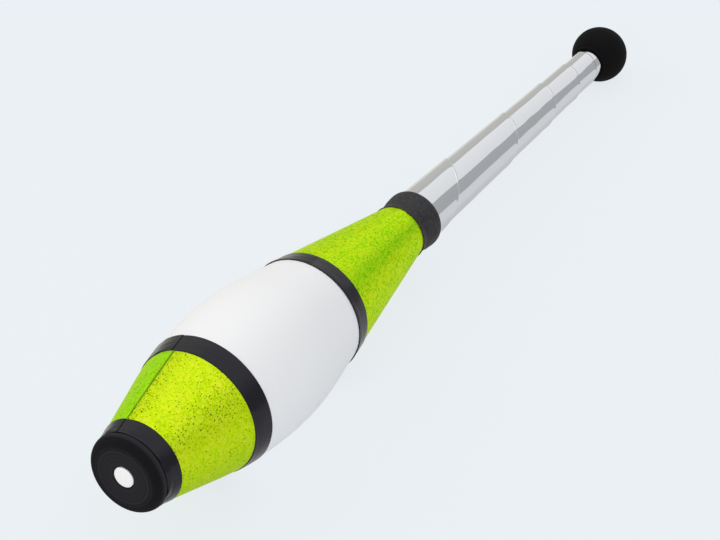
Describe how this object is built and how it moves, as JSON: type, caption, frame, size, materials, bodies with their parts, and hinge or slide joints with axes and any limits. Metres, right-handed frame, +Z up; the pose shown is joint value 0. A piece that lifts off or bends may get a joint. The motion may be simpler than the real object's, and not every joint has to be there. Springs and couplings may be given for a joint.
{
  "type": "juggling club",
  "caption": "Juggling club: hollow bulging body on a wooden rod, long tapered foam grip, soft ball knob at one end and a flat soft cap at the other.",
  "frame": {"origin": "centre of the head cap's flat face, on the club's axis", "axes": "+X along the club from the head to the knob; +Z up with the club lying on its side; +Y completes the right-handed frame"},
  "size_m": [0.5191, 0.0826, 0.0826],
  "materials": {
    "cap_foam": "matte black soft rubber",
    "knob_foam": "matte black soft foam rubber",
    "plug_white": "satin cream white",
    "steel": "zinc plated",
    "beech": "plain turned beech",
    "shell_white": "satin white blow-moulded polyethylene",
    "foil_green_head": "yellow-green holographic glitter foil",
    "foil_green_neck": "yellow-green holographic glitter foil",
    "tape_black": "glossy black PVC tape",
    "foam": "closed-cell foam, hidden under the wrap",
    "wrap_silver": "silver metallised film, wound in laps",
    "band_black": "dull black stretched band"
  },
  "bodies": {
    "root": {"head_plug": "plug_white", "head_screw": "steel", "head_washer": "steel", "head_cap": "cap_foam", "head_bush": "beech", "dowel": "beech", "body_shell": "shell_white", "neck_bush": "beech", "foil_head": "foil_green_head", "foil_neck": "foil_green_neck", "tape_head": "tape_black", "tape_ring_front": "tape_black", "tape_ring_back": "tape_black", "grip_foam": "foam", "handle_wrap": "wrap_silver", "neck_band": "band_black", "knob": "knob_foam", "knob_washer": "steel", "knob_screw": "steel"}
  },
  "joints": []
}
